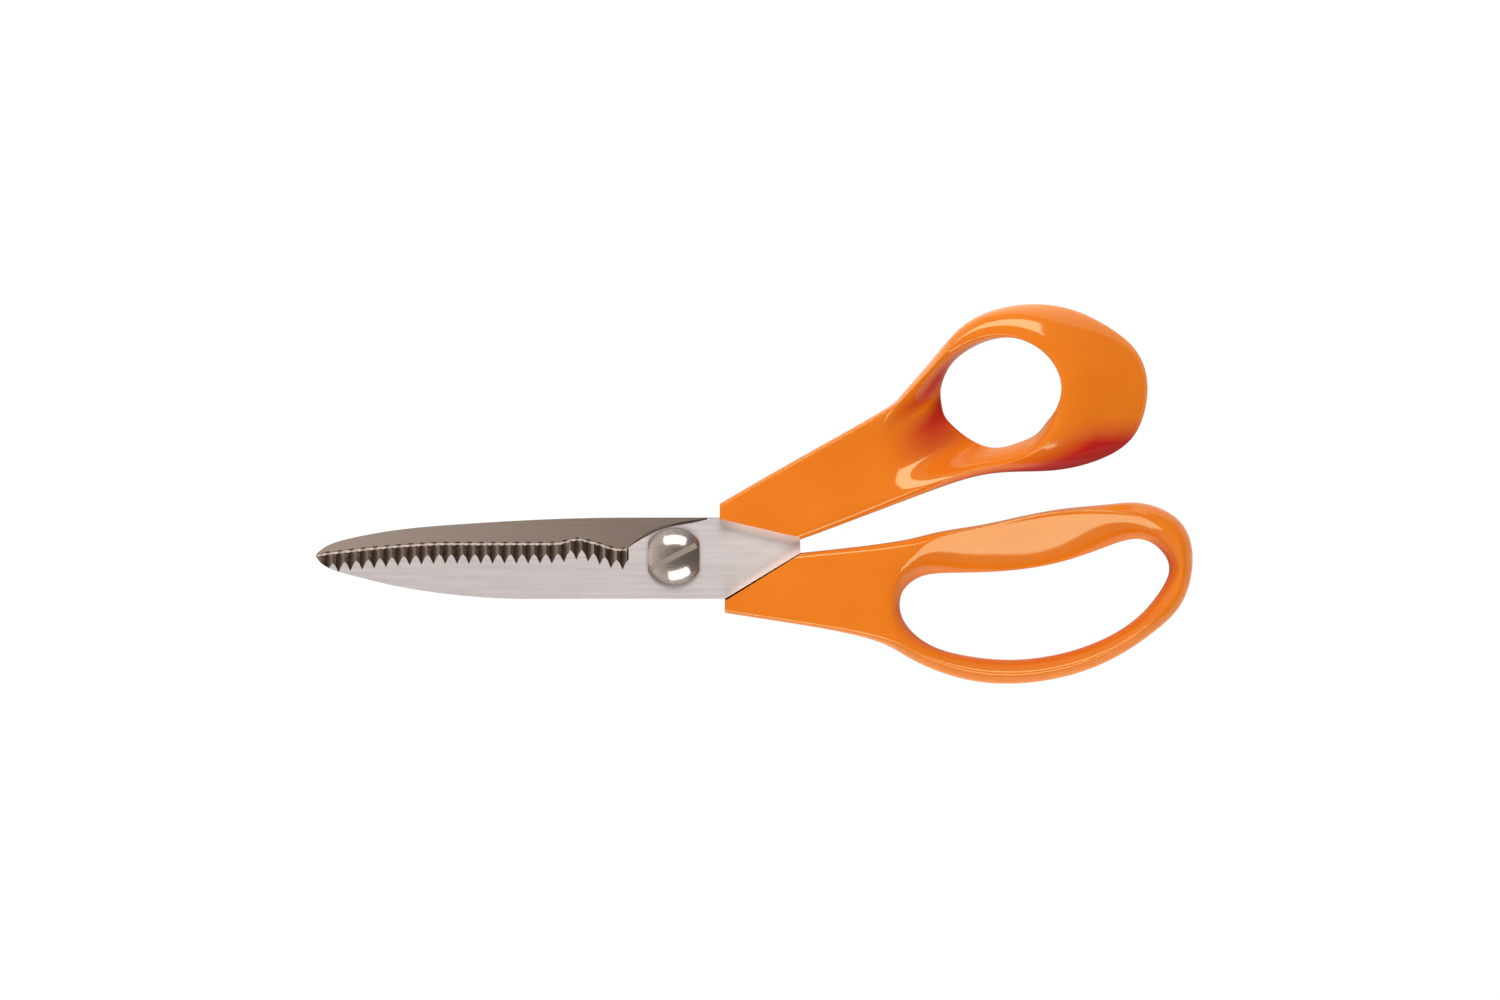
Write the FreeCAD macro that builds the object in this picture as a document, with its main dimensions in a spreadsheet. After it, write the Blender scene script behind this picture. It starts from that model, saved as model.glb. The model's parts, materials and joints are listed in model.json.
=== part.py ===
import FreeCAD, Part
import Sketcher

import math
import os

from FreeCAD import Vector

# Pinking shears, 210 mm long, lying flat. +Z is up, the blades point along -X and the thumb
# loop is on the +Y side. The front blade is the upper one and carries the thumb handle; the
# rear blade lies under it and carries the finger handle. Every piece is drawn about the pivot
# axis, with z = 0 on the plane where the blades meet, and placed by pivot_x, pivot_y, pivot_z.

SIZES = {
    # place of the pivot: the row's origin is the middle of the footprint, on the table
    "pivot_x": -19.23,
    "pivot_y": -15.0,
    "pivot_z": 11.35,
    # blades
    "blade_thick": 2.2,
    "half_gap": 0.05,
    "ricasso_end": 30.2,
    "tang_hole_dia": 3.6,
    "neck_bevel": 0.65,
    "neck_bevel_depth": 1.4,
    # pinking teeth: a zigzag about the mating plane, in rings round the pivot
    "tooth_pitch": 2.82,
    "tooth_rise": 0.55,
    "first_tooth": 12.35,
    "flute_angle": 25.2,
    "flute_land": 0.4,
    "edge_angle": 55.0,
    "edge_land": 0.05,
    # pivot screw
    "head_dia": 14.0,
    "head_across_flats": 12.3,
    "head_rim": 0.6,
    "dome_radius": 9.4,
    "dome_height": 3.1,
    "slot_width": 1.4,
    "slot_depth": 2.3,
    "slot_turn": 27.0,
    "head_clear": 0.03,
    "shank_dia": 7.0,
    "shank_clear": 0.05,
    "thread_dia": 5.0,
    "screw_tail": 0.5,
    # washers and nut
    "thrust_dia": 12.0,
    "thrust_thick": 0.5,
    "thrust_clear": 0.02,
    "lock_dia": 9.2,
    "lock_thick": 1.2,
    "lock_split": 0.9,
    "nut_flats": 9.0,
    "nut_thick": 2.8,
    "nut_chamfer": 0.5,
    # handles
    "shank_half": 4.8,
    "handle_clear": 0.4,
    "thumb_nose": 11.0,
    "finger_nose": 12.2,
}

TIP = (-85.8, 0.3)
NECK_START = -11.3
# where each blade's spine runs straight, and the corner where its ricasso ends, as heights in y
FRONT_BACK, FRONT_CORNER = -10.1, 0.84
REAR_BACK, REAR_CORNER = 9.3, -0.8
# spine of each blade, from next to the tip to where it runs straight
FRONT_SPINE = [(-83.4, -2.2), (-78.0, -4.2), (-68.0, -6.7), (-54.0, -8.95), (-44.0, -9.85),
               (-34.0, FRONT_BACK)]
REAR_SPINE = [(-83.4, 2.3), (-78.0, 4.2), (-68.0, 6.1), (-50.0, 7.8), (-24.0, 9.1), (-8.0, REAR_BACK)]
# the neck sweeps from the heel of the teeth up to the full width of the ricasso
NECK = [(-10.2, 2.9), (-8.1, 4.5), (-3.4, 7.0), (1.4, 8.2), (8.0, 9.2)]
# hidden tang of each blade, inside its handle
FRONT_TANG = [(30.2, 7.6), (44.0, 14.0), (50.5, 19.0), (49.0, 25.0), (43.5, 27.0), (14.0, 9.2)]
REAR_TANG = [(33.0, -1.8), (46.0, -0.9), (49.5, -4.0), (49.5, -9.0), (46.0, -13.2), (14.0, -10.6)]
FRONT_TANG_HOLES = [(29.0, 14.5), (40.0, 19.8)]
REAR_TANG_HOLES = [(25.0, -9.2), (39.0, -7.2)]

# A handle is one closed surface round its finger hole. Each station is a cross-section with
# four corners: front inner, front outer, rear outer and rear inner, and the softness of the
# front inner edge (the distance over which it rounds off, in mm).
THUMB_STATIONS = [
    ((91.0, 39.5, 5.2), (97.5, 39.5, 4.2), (115.5, 40.2, -7.5), (107.6, 39.5, -12.3), 1.4),
    ((89.8, 44.7, 5.4), (95.6, 47.2, 4.1), (112.6, 50.0, -7.2), (104.4, 46.6, -12.2), 1.4),
    ((85.9, 49.2, 5.7), (90.2, 55.2, 3.4), (103.9, 56.8, -6.6), (97.0, 51.2, -11.8), 1.3),
    ((80.0, 51.8, 5.8), (81.0, 58.4, 3.6), (94.0, 60.6, -6.0), (88.5, 53.6, -11.0), 1.2),
    ((73.8, 51.7, 5.8), (72.2, 57.0, 3.8), (82.6, 60.8, -5.4), (79.0, 53.0, -10.0), 1.1),
    ((68.2, 49.4, 5.4), (65.8, 52.2, 4.3), (71.8, 57.0, -5.0), (72.0, 50.2, -9.0), 1.0),
    ((62.4, 44.8, 5.0), (60.9, 45.4, 4.8), (62.5, 47.9, -4.8), (67.5, 46.2, -8.2), 0.9),
    ((56.9, 38.6, 4.8), (54.3, 38.3, 4.8), (54.9, 38.8, -4.8), (65.5, 41.1, -7.6), 0.9),
    ((52.0, 33.4, 4.8), (40.2, 29.3, 4.8), (40.2, 29.3, -4.8), (65.8, 37.6, -7.2), 1.4),
    ((49.4, 28.4, 4.8), (-8.0, 0.1, 4.8), (-8.0, 0.1, -4.8), (66.8, 34.7, -7.0), 3.0),
    ((49.2, 23.4, 4.8), (6.0, -3.5, 4.8), (6.0, -3.5, -4.8), (68.7, 32.5, -7.0), 3.6),
    ((53.0, 18.6, 4.8), (45.0, 9.6, 4.8), (45.0, 9.6, -4.8), (71.3, 30.2, -7.2), 3.0),
    ((63.4, 19.4, 4.8), (62.5, 16.3, 4.0), (63.0, 16.3, -5.0), (74.4, 28.1, -7.8), 1.8),
    ((73.8, 22.2, 4.4), (73.8, 20.2, 3.6), (77.0, 19.9, -6.0), (79.2, 27.0, -9.0), 1.4),
    ((83.2, 24.5, 4.3), (84.4, 22.8, 3.5), (92.3, 20.0, -7.0), (84.9, 28.8, -10.4), 1.3),
    ((88.6, 30.2, 4.6), (92.6, 27.4, 3.7), (105.5, 23.4, -7.6), (88.6, 30.5, -11.6), 1.3),
    ((90.1, 34.6, 5.0), (96.2, 33.0, 3.9), (113.1, 29.8, -7.6), (94.5, 34.2, -12.1), 1.4),
]
FINGER_STATIONS = [
    ((119.0, -2.6, 3.4), (123.4, -1.5, 3.2), (124.4, -1.0, -3.8), (119.2, -2.6, -4.2), 2.0),
    ((117.4, 3.0, 4.2), (120.8, 7.8, 3.6), (121.6, 8.0, -4.2), (116.6, 1.2, -5.0), 1.8),
    ((112.2, 7.8, 5.0), (112.6, 12.1, 4.0), (112.7, 12.6, -4.6), (111.2, 3.2, -3.8), 1.5),
    ((103.6, 10.0, 5.4), (104.0, 12.0, 4.4), (104.0, 12.4, -4.8), (104.0, 1.0, -3.4), 1.2),
    ((93.6, 10.4, 5.6), (93.4, 11.1, 4.6), (93.4, 11.2, -5.0), (95.5, -2.2, -3.2), 1.1),
    ((83.5, 8.9, 5.6), (83.3, 9.4, 4.8), (83.4, 9.3, -5.0), (87.0, -4.2, -3.1), 1.1),
    ((73.4, 6.4, 5.4), (73.0, 7.2, 4.8), (73.2, 7.2, -5.0), (78.0, -5.1, -3.1), 1.1),
    ((64.0, 3.4, 5.0), (62.0, 5.3, 4.8), (62.0, 5.3, -4.8), (69.0, -5.2, -3.2), 1.1),
    ((57.2, -0.8, 4.8), (44.0, 2.2, 4.8), (44.0, 2.2, -4.8), (61.4, -5.2, -4.2), 1.2),
    ((53.4, -5.6, 4.8), (-4.0, -3.5, 4.8), (-4.0, -3.5, -4.8), (56.6, -7.4, -5.0), 1.4),
    ((52.4, -10.6, 4.8), (-4.0, -10.5, 4.8), (-4.0, -10.5, -4.8), (54.4, -10.6, -5.0), 1.6),
    ((53.9, -16.2, 4.8), (39.0, -17.8, 4.8), (39.0, -17.8, -4.8), (55.3, -15.6, -4.8), 1.8),
    ((60.2, -21.6, 4.6), (55.7, -23.7, 4.0), (55.7, -23.7, -4.4), (60.8, -21.0, -4.6), 1.8),
    ((69.5, -24.5, 4.2), (67.1, -28.5, 3.4), (67.1, -28.5, -4.0), (69.7, -24.0, -4.4), 1.8),
    ((80.0, -25.5, 4.0), (80.0, -30.2, 3.2), (80.0, -30.2, -3.8), (80.0, -25.1, -4.2), 1.8),
    ((91.2, -24.4, 3.8), (93.5, -28.5, 3.0), (93.5, -28.5, -3.6), (91.0, -23.9, -4.0), 1.8),
    ((102.4, -20.8, 3.8), (105.4, -24.0, 3.0), (105.4, -24.0, -3.6), (102.1, -20.4, -4.0), 1.8),
    ((111.6, -15.0, 3.6), (114.9, -17.7, 3.0), (114.9, -17.7, -3.6), (111.4, -14.7, -4.0), 1.8),
    ((117.3, -8.1, 3.5), (121.4, -10.8, 3.0), (121.4, -10.8, -3.6), (117.2, -7.9, -4.0), 1.8),
]
# each handle's lip across its own blade's ricasso: its y at the ricasso's end and at the nose
THUMB_LIP_HEIGHTS = (4.55, 9.0)
FINGER_LIP_HEIGHTS = (1.0, -9.2)
OUTER_SOFTNESS = 1.5
CROWN = 0.45
SCOOP_CROWN = 0.9
PATCH_STATIONS = 4

doc = FreeCAD.newDocument("PinkingShears")


# ---------------------------------------------------------------- the sheet of sizes
def make_sheet():
    """Write every driving size into a spreadsheet, one named cell each."""
    cells = doc.addObject("Spreadsheet::Sheet", "Sizes")
    for row, (alias, value) in enumerate(SIZES.items(), start=1):
        cells.set(f"A{row}", alias)
        cells.set(f"B{row}", str(value))
        cells.setAlias(f"B{row}", alias)
    doc.recompute()
    return cells


sheet = make_sheet()


def size(alias):
    """A size as the sheet holds it."""
    return float(sheet.get(alias))


def outer_face():
    """Height of a blade's outer face above the mating plane."""
    return size("half_gap") + size("blade_thick")


def place(obj, label):
    """Name a sub-part and put it at the pivot."""
    obj.Label = label
    for axis in "xyz":
        obj.setExpression(f"Placement.Base.{axis}", f"Sizes.pivot_{axis}")
    return obj


# ---------------------------------------------------------------- sketch helpers
def new_body(name):
    return doc.addObject("PartDesign::Body", name)


def new_sketch(body, name, role="XY_Plane", height=None):
    """A sketch on one of the body's origin planes, lifted by an expression."""
    plane = next(f for f in body.Origin.OriginFeatures if f.Role == role)
    sketch = body.newObject("Sketcher::SketchObject", name)
    sketch.AttachmentSupport = [(plane, "")]
    sketch.MapMode = "FlatFace"
    if height:
        sketch.setExpression("AttachmentOffset.Base.z", height)
    return sketch


def draw_chain(sketch, *runs):
    """Join runs of points into one closed outline: two points make a line, more a smooth curve."""
    for points in runs:
        ends = [Vector(x, y, 0) for x, y in points]
        if len(ends) == 2:
            sketch.addGeometry(Part.LineSegment(*ends))
            continue
        curve = Part.BSplineCurve()
        curve.interpolate(ends)
        sketch.addGeometry(curve)


def draw_circle(sketch, diameter, centre=(0.0, 0.0)):
    """A circle whose diameter is bound to a cell, or to an expression of cells."""
    index = sketch.addGeometry(Part.Circle(Vector(*centre, 0), Vector(0, 0, 1), 1.0))
    constraint = sketch.addConstraint(Sketcher.Constraint("Diameter", index, 2.0))
    sketch.setExpression(f"Constraints[{constraint}]", diameter)


def pad(body, sketch, name, length, reverse=False):
    feature = body.newObject("PartDesign::Pad", name)
    feature.Profile = sketch
    feature.setExpression("Length", length)
    feature.Reversed = reverse
    sketch.Visibility = False
    doc.recompute()
    return feature


def pocket(body, sketch, name, length, reverse=False):
    """Cut a sketch into the body, and stop if it took nothing away."""
    before = body.Shape.Volume
    feature = body.newObject("PartDesign::Pocket", name)
    feature.Profile = sketch
    feature.setExpression("Length", length)
    feature.Reversed = reverse
    sketch.Visibility = False
    doc.recompute()
    assert body.Shape.Volume < before - 0.1, f"{name} cut nothing"
    return feature


# ---------------------------------------------------------------- blades
def edge_height(x):
    """Height of the front blade's cutting edge over the pivot's centre line, at x."""
    to_tip = max(0.0, -x - 55.0)
    notch = 1.05 * math.exp(-(((x + 23.0) / 3.2) ** 2))
    heel = min(1.0, max(0.0, (x + 19.5) / 6.5))
    return 3.2 - 0.016 * to_tip**1.5 + notch - 1.35 * heel * heel * (3 - 2 * heel)


def edge_slope(x):
    return (edge_height(x + 0.05) - edge_height(x - 0.05)) / 0.1


def edge_points(side, spare=0.0):
    """The cutting edge as points from the tip to the heel; spare lifts it clear of the teeth."""
    stations = [-82.0, -76.0, -68.0, -58.0, -48.0, -38.0, -31.0, -27.5, -25.0, -23.0]
    stations += [-21.0, -18.5, -16.0, -13.6, NECK_START]
    return [(x, side * (edge_height(x) + spare)) for x in stations]


def draw_blade(sketch, side):
    """Outline of a blade with its ricasso and tang. side is 1 for the front blade, -1 for the rear."""
    end = size("ricasso_end")
    top = [(x, side * y) for x, y in NECK]
    edge = [TIP] + edge_points(side, 0.06)
    heel = edge[-1]
    if side > 0:
        spine, tang = FRONT_SPINE, FRONT_TANG
        back = [(size("finger_nose"), FRONT_BACK), (end, FRONT_CORNER)]
    else:
        spine, tang = REAR_SPINE, REAR_TANG
        back = [(size("finger_nose"), REAR_BACK), (end, REAR_CORNER)]
    draw_chain(
        sketch,
        [TIP] + spine,
        [spine[-1], back[0]],
        back,
        [back[1], tang[0]],
        [tang[0], tang[1]],
        tang[1:5],
        [tang[4], tang[5]],
        [tang[5], top[-1]],
        [heel] + top,
        edge,
    )


def make_blank(name, side, holes):
    """The flat blade: plate with tang, the raised bank for the teeth, and the pivot's holes."""
    body = new_body(name)
    lift = "Sizes.half_gap" if side > 0 else "-Sizes.half_gap"
    outline = new_sketch(body, name + "_outline", height=lift)
    draw_blade(outline, side)
    pad(body, outline, name + "_plate", "Sizes.blade_thick", reverse=side < 0)

    bank = new_sketch(body, name + "_bank_outline", height=lift)
    draw_tooth_strip(bank)
    clip = body.newObject("PartDesign::Pad", name + "_bank")
    clip.Profile = bank
    clip.setExpression("Length", "Sizes.half_gap + Sizes.tooth_rise + 0.2")
    clip.Reversed = side > 0
    doc.recompute()

    bore = new_sketch(body, name + "_bore_circle", height=lift)
    draw_circle(bore, "Sizes.shank_dia + 2 * Sizes.shank_clear" if side > 0 else "Sizes.thread_dia")
    pocket(body, bore, name + "_bore", "Sizes.blade_thick + 1", reverse=side > 0)

    seat = new_sketch(body, name + "_seat_circle", height=lift)
    draw_circle(seat, "Sizes.thrust_dia + 0.2")
    pocket(body, seat, name + "_seat", "Sizes.thrust_thick / 2 - Sizes.half_gap + Sizes.thrust_clear",
           reverse=side > 0)

    for number, centre in enumerate(holes, start=1):
        ring = new_sketch(body, f"{name}_tang_hole_{number}_circle", height=lift)
        draw_circle(ring, "Sizes.tang_hole_dia", centre)
        pocket(body, ring, f"{name}_tang_hole_{number}", "Sizes.blade_thick + 1", reverse=side > 0)
    return body


def draw_tooth_strip(sketch):
    """Where both blades carry teeth: from just over the front edge to just under the rear one."""
    upper = [(TIP[0] + 0.6, TIP[1] + 0.4)] + edge_points(1, 0.16)
    lower = [(TIP[0] + 0.6, TIP[1] - 1.0)] + edge_points(-1, 0.16)
    draw_chain(sketch, upper, [upper[-1], lower[-1]], lower, [lower[0], upper[0]])


def tooth_wave(side):
    """Solid of everything on the far side of the zigzag mating surface, seen from a blade.

    The zigzag is turned about the pivot, so that both blades stay in mesh at every opening.
    """
    pitch, rise, gap = size("tooth_pitch"), size("tooth_rise"), size("half_gap")
    start = size("first_tooth")
    radii = [(start - 0.75 * pitch, 0.0), (start - 0.5 * pitch, rise)]
    for tooth in range(28):
        radii += [(start + tooth * pitch, -rise), (start + (tooth + 0.5) * pitch, rise)]
    far = -side * 3.0
    line = [(5.0, 0.0)] + radii
    points = [Vector(0, r, z + side * gap) for r, z in line]
    points += [Vector(0, line[-1][0], far), Vector(0, 5.0, far)]
    profile = Part.Face(Part.makePolygon(points + points[:1]))
    return profile.revolve(Vector(), Vector(0, 0, 1), 180)


def strip_prism():
    """The toothed strip as a tall prism, to keep the zigzag off the rest of the blade."""
    tip_end = TIP[0] - 2
    heel_end = NECK_START + 2
    upper = [Vector(tip_end, 1.0, -4)] + [Vector(x, y, -4) for x, y in edge_points(1, 0.3)]
    upper.append(Vector(heel_end, 2.5, -4))
    lower = [Vector(p.x, -p.y, p.z) for p in upper]
    edges = []
    for points in (upper, lower):
        curve = Part.BSplineCurve()
        curve.interpolate(points)
        edges.append(curve.toShape())
    edges.append(Part.LineSegment(upper[-1], lower[-1]).toShape())
    edges.append(Part.LineSegment(upper[0], lower[0]).toShape())
    return Part.Face(Part.Wire(Part.__sortEdges__(edges))).extrude(Vector(0, 0, 8))


def neck_wedge(side):
    """What is ground off the outer corner along the neck, fading in from the heel."""
    width, depth, top = size("neck_bevel"), size("neck_bevel_depth"), outer_face()
    curve = Part.BSplineCurve()
    curve.interpolate([Vector(x, y, 0) for x, y in edge_points(1, 0.06)[-1:] + NECK])
    sections = []
    for step in range(11):
        where = curve.value(curve.LastParameter * step / 10)
        along = Vector(*curve.tangent(curve.LastParameter * step / 10)[0])
        out = Vector(-along.y, along.x, 0)
        grown = min(1.0, 0.15 + 0.3 * step, 0.5 + 0.25 * (10 - step))
        corners = []
        for reach, height in ((-1.5, 0.5), (0.5, -1.5), (0.5, 0.5)):
            point = where + out * reach * width * grown
            corners.append(Vector(point.x, side * point.y, side * (top + height * depth * grown)))
        sections.append(Part.makePolygon(corners + corners[:1]))
    return Part.makeLoft(sections, True, True)


def flute(side, x, angle, land, run, belly):
    """One inclined V-groove across the outer bevel, centred at x on the cutting edge.

    belly is how high the flanks are halfway out: 0.5 is straight, more rounds off the ridges.
    """
    rise, pitch = size("tooth_rise"), size("tooth_pitch")
    half = pitch / 2 + 0.04
    ridge = 4 * rise / pitch * half
    climb = math.tan(math.radians(angle))
    slope = edge_slope(x)
    start = 1.0
    y = edge_height(x) + start
    z = size("half_gap") - rise + land - climb * start
    section = [(-half, 5.0), (-half, ridge), (-half / 2, belly * ridge), (0, 0),
               (half / 2, belly * ridge), (half, ridge), (half, 5.0)]
    points = [Vector(x + dx, side * (y + slope * dx), side * (z + dz)) for dx, dz in section]
    face = Part.Face(Part.makePolygon(points + points[:1]))
    return face.extrude(Vector(0, -side * run, side * run * climb))


def flutes(side):
    """All the flutes of one blade: the ground bevel and the narrow cutting bevel at the edge."""
    pitch = size("tooth_pitch")
    start = size("first_tooth") + (0.0 if side > 0 else 0.5 * pitch)
    cutters = []
    for tooth in range(27 if side > 0 else 26):
        radius = start + tooth * pitch
        x = -math.sqrt(radius**2 - edge_height(-radius) ** 2)
        cutters.append(flute(side, x, size("flute_angle"), size("flute_land"), 9.0, 0.66))
        cutters.append(flute(side, x, size("edge_angle"), size("edge_land"), 2.2, 0.5))
    return cutters


def make_blade(label, side, holes):
    """A finished blade: the blank, its zigzag mating face and its fluted outer bevel."""
    blank = make_blank(label + "_blank", side, holes)
    wave = tooth_wave(side).common(strip_prism())
    meshed = blank.Shape.cut(wave)
    assert meshed.Volume < blank.Shape.Volume - 100, f"{label} has no zigzag"
    bevelled = meshed.cut(neck_wedge(side))
    assert bevelled.Volume < meshed.Volume - 2, f"{label} has no bevel along its neck"
    shape = bevelled.cut(flutes(side))
    solids = sorted(shape.Solids, key=lambda solid: solid.Volume)
    blade = doc.addObject("Part::Feature", label)
    blade.Shape = solids[-1]
    blank.Visibility = False
    return place(blade, label)


# ---------------------------------------------------------------- handles
def lerp(start, end, share):
    return start + (end - start) * share


def toward(start, end, distance):
    """A point the given distance from start towards end, at most 0.38 of the way."""
    span = end - start
    return start + span * min(0.38, distance / max(span.Length, 1e-6))


def section_poles(station):
    """Twelve poles round one cross-section: two at each corner and one on each side."""
    inner_front, outer_front, outer_rear, inner_rear = (Vector(*p) for p in station[:4])
    soft = station[4]
    corners = [inner_front, outer_front, outer_rear, inner_rear]
    softness = [soft, OUTER_SOFTNESS, OUTER_SOFTNESS, OUTER_SOFTNESS]
    middle = (inner_front + outer_front + outer_rear + inner_rear) * 0.25
    crowns = [CROWN, CROWN, CROWN, SCOOP_CROWN]
    poles = []
    for k in range(4):
        here, after = corners[k], corners[(k + 1) % 4]
        poles.append(toward(here, after, softness[k]))
        side_middle = lerp(here, after, 0.5)
        out = side_middle - middle
        reach = min(1.0, 12.0 / max((after - here).Length, 1e-6))
        out = out / max(out.Length, 1e-6)
        poles.append(side_middle + out * crowns[k] * reach)
        poles.append(toward(after, here, softness[(k + 1) % 4]))
    return poles


def through(rows):
    """Move the rows of poles out so that the surface passes through them round the ring."""
    count = len(rows)
    poles = [list(row) for row in rows]
    for _ in range(12):
        nudged = []
        for i in range(count):
            before, after = poles[i - 1], poles[(i + 1) % count]
            nudged.append([
                pole + rows[i][j] - (before[j] + pole * 4 + after[j]) / 6
                for j, pole in enumerate(poles[i])
            ])
        poles = nudged
    return poles


def ring_solid(stations):
    """One smooth closed solid through a ring of cross-sections, its skin split into patches."""
    poles = through([section_poles(s) for s in stations])
    rows, columns = len(poles), len(poles[0])
    surface = Part.BSplineSurface()
    surface.buildFromPolesMultsKnots(
        poles, [1] * (rows + 1), [1] * (columns + 1),
        [float(i) for i in range(rows + 1)], [float(i) for i in range(columns + 1)],
        True, True, 3, 3,
    )
    starts = list(range(0, rows - 2, PATCH_STATIONS)) + [rows]
    patches = []
    for start, end in zip(starts, starts[1:]):
        for column in range(0, columns, 3):
            patch = surface.copy()
            patch.segment(start, end, column, column + 3)
            patches.append(patch.toShape())
    shell = Part.makeShell(patches)
    shell.sewShape()
    solid = Part.Solid(shell)
    if solid.Volume < 0:
        solid.reverse()
    return solid


def prism(points, low, high):
    """An upright prism on a plan outline."""
    wire = Part.makePolygon([Vector(x, y, low) for x, y in points + points[:1]])
    return Part.Face(wire).extrude(Vector(0, 0, high - low))


def trim(solid, tool):
    """Cut a tool out of a solid, and stop if the cut missed some of it."""
    taken = solid.common(tool).Volume
    rest = solid.cut(tool)
    assert abs(solid.Volume - taken - rest.Volume) < 1.0, "a cut went wrong"
    return rest


def make_handle(label, stations, cuts, blade):
    """A handle: the ring solid, trimmed at the ricasso and hollowed for its blade's tang."""
    shape = ring_solid(stations)
    for points, low, high in cuts:
        shape = trim(shape, prism(points, low, high))
    tang = blade.Shape.copy()
    tang.Placement = FreeCAD.Placement()
    shape = trim(shape, tang)
    solids = sorted(shape.Solids, key=lambda solid: solid.Volume)
    handle = doc.addObject("Part::Feature", label)
    handle.Shape = solids[-1]
    return place(handle, label)


def make_handles(front_blade, rear_blade):
    """Both handles. far is well outside them, on the side that is cut away."""
    gap, clear, end = size("half_gap"), size("handle_clear"), size("ricasso_end")
    thumb_nose, finger_nose = size("thumb_nose"), size("finger_nose")
    far = 40
    lip_end, lip_nose = THUMB_LIP_HEIGHTS
    thumb_front = [(-far, -far), (end, -far), (end, lip_end), (thumb_nose, lip_nose),
                   (thumb_nose, far), (-far, far)]
    thumb_rear = [(-far, -far), (end + clear, -far), (end + clear, REAR_CORNER + clear / 4),
                  (finger_nose + clear / 2, REAR_BACK + clear), (thumb_nose, REAR_BACK + clear),
                  (thumb_nose, far), (-far, far)]
    make_handle("thumb_handle", THUMB_STATIONS,
                [(thumb_front, gap, far), (thumb_rear, -far, gap)], front_blade)
    finger_front = [(-far, far), (-far, -far), (finger_nose, -far), (finger_nose, FRONT_BACK - 1.2 * clear),
                    (end + clear, FRONT_CORNER), (end + clear, far)]
    finger_rear = [(-far, far), (-far, -far), (finger_nose, -far), (finger_nose, FINGER_LIP_HEIGHTS[1]),
                   (end, FINGER_LIP_HEIGHTS[0]), (end, far)]
    make_handle("finger_handle", FINGER_STATIONS,
                [(finger_front, -gap, far), (finger_rear, -far, -gap)], rear_blade)


# ---------------------------------------------------------------- pivot hardware
def make_screw():
    """Slotted dome-head screw with two flats, a plain journal and a threaded end."""
    body = new_body("pivot_screw_body")
    seat = outer_face() + size("head_clear")
    rim = seat + size("head_rim")
    journal_end = -size("thrust_thick") / 2
    tail = -(outer_face() + size("lock_thick") + size("nut_thick") + size("screw_tail"))
    radius, shank, thread = size("head_dia") / 2, size("shank_dia") / 2, size("thread_dia") / 2
    top = rim + size("dome_height")
    dome = size("dome_radius")
    chord = math.sqrt(dome**2 - (dome - size("dome_height")) ** 2)
    middle_angle = math.asin(chord / dome) / 2
    middle = (dome * math.sin(middle_angle), top - dome + dome * math.cos(middle_angle))

    profile = new_sketch(body, "screw_profile", role="XZ_Plane")
    corners = [(chord, rim), (radius, rim - 0.2), (radius, seat), (shank, seat), (shank, journal_end),
               (thread, journal_end), (thread, tail + 0.5), (thread - 0.5, tail), (0, tail), (0, top)]
    draw_chain(profile, *[list(pair) for pair in zip(corners, corners[1:])])
    profile.addGeometry(Part.Arc(Vector(0, top, 0), Vector(*middle, 0), Vector(chord, rim, 0)))
    turned = body.newObject("PartDesign::Revolution", "screw_turned")
    turned.Profile = profile
    turned.ReferenceAxis = (profile, ["V_Axis"])
    turned.Angle = 360
    doc.recompute()

    for sign, name in ((1, "right"), (-1, "left")):
        flat = new_sketch(body, f"screw_{name}_flat_outline", height=f"{seat:.3f}")
        half = size("head_across_flats") / 2
        draw_rectangle(flat, sign * (half + 2), 0, 4, 16)
        pocket(body, flat, f"screw_{name}_flat", "Sizes.dome_height + 1", reverse=True)

    slot = new_sketch(body, "screw_slot_outline", height=f"{top + 0.2:.3f}")
    draw_rectangle(slot, 0, 0, 18, size("slot_width"), size("slot_turn"))
    pocket(body, slot, "screw_slot", "Sizes.slot_depth + 0.2")
    return place(body, "pivot_screw")


def draw_rectangle(sketch, x, y, width, height, turn=0.0):
    """A rectangle centred at x, y, turned by an angle in degrees."""
    c, s = math.cos(math.radians(turn)), math.sin(math.radians(turn))
    corners = []
    for u, v in ((-0.5, -0.5), (0.5, -0.5), (0.5, 0.5), (-0.5, 0.5)):
        corners.append((x + u * width * c - v * height * s, y + u * width * s + v * height * c))
    draw_chain(sketch, *[[a, b] for a, b in zip(corners, corners[1:] + corners[:1])])


def make_ring(label, outer, inner, low, thick):
    """A flat ring between two heights, with both diameters bound to the sheet."""
    body = new_body(label + "_body")
    sketch = new_sketch(body, label + "_rings", height=low)
    draw_circle(sketch, outer)
    draw_circle(sketch, inner)
    pad(body, sketch, label + "_pad", thick)
    return body


def make_thrust_washer():
    """Low-friction washer that keeps the blades' flat faces from rubbing at the pivot."""
    body = make_ring("thrust_washer", "Sizes.thrust_dia", "Sizes.shank_dia + 0.3",
                     "-Sizes.thrust_thick / 2", "Sizes.thrust_thick")
    return place(body, "thrust_washer")


def make_lock_washer():
    """Split spring washer under the nut."""
    low = "-Sizes.half_gap - Sizes.blade_thick - Sizes.lock_thick"
    body = make_ring("lock_washer", "Sizes.lock_dia", "Sizes.thread_dia + 0.2", low, "Sizes.lock_thick")
    split = new_sketch(body, "lock_washer_split_outline", height=low)
    draw_rectangle(split, size("lock_dia") / 2 - 0.5, 0.4, 4, size("lock_split"), 20)
    pocket(body, split, "lock_washer_split", "Sizes.lock_thick", reverse=True)
    return place(body, "lock_washer")


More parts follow.
